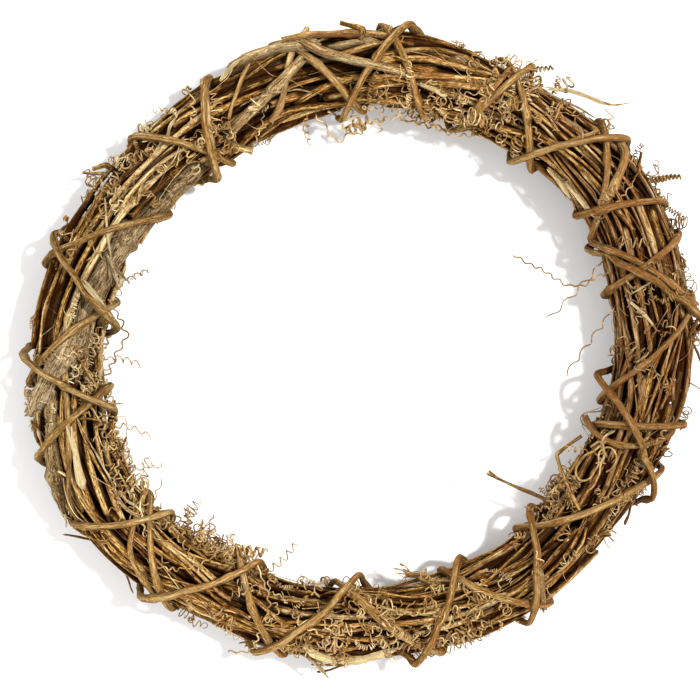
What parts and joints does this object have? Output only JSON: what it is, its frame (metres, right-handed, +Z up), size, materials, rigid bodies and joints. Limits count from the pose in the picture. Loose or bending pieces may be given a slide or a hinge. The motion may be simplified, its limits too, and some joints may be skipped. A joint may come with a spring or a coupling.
{
  "type": "grapevine wreath",
  "caption": "Open ring of dried grapevine canes bound by two thin vines wound opposite ways, with curling tendrils and short side stubs. It lies flat.",
  "frame": {"origin": "middle of the wreath's outline, on the surface that it lies on", "axes": "+Z up out of the ring's plane, +Y towards the top of the wreath as pictured, +X to its right"},
  "size_m": [0.3277, 0.3073, 0.0505],
  "materials": {
    "cane_bark": "dry stringy bark, golden to reddish brown, with fine lengthwise grooves",
    "old_bark": "thick flaking grey-brown bark with torn pale wood at the ends",
    "binder_bark": "smoother tan bark, faintly ridged",
    "tendril": "thin dry tendril, straw to rust brown"
  },
  "bodies": {
    "root": {"cane_01": "cane_bark", "cane_02": "cane_bark", "cane_03": "cane_bark", "cane_04": "cane_bark", "cane_05": "cane_bark", "cane_06": "cane_bark", "cane_07": "cane_bark", "cane_08": "cane_bark", "cane_09": "cane_bark", "cane_10": "cane_bark", "cane_11": "cane_bark", "cane_12": "cane_bark", "cane_13": "cane_bark", "cane_14": "cane_bark", "cane_15": "cane_bark", "cane_16": "cane_bark", "cane_17": "cane_bark", "cane_18": "cane_bark", "cane_19": "cane_bark", "cane_20": "cane_bark", "cane_21": "cane_bark", "cane_22": "cane_bark", "cane_23": "cane_bark", "cane_24": "cane_bark", "cane_25": "cane_bark", "cane_26": "cane_bark", "old_stalk": "old_bark", "gnarled_cane": "old_bark", "butt_cane": "old_bark", "forked_cane": "old_bark", "binder_vine_a": "binder_bark", "binder_vine_b": "binder_bark", "tendril_shoot_01": "tendril", "tendril_shoot_02": "tendril", "tendril_shoot_03": "tendril", "tendril_shoot_04": "tendril", "tendril_shoot_05": "tendril", "tendril_shoot_06": "tendril", "tendril_shoot_07": "tendril", "tendril_shoot_08": "tendril", "tendril_shoot_09": "tendril", "tendril_shoot_10": "tendril", "tendril_shoot_11": "tendril", "tendril_shoot_12": "tendril", "tendril_shoot_13": "tendril"}
  },
  "joints": []
}
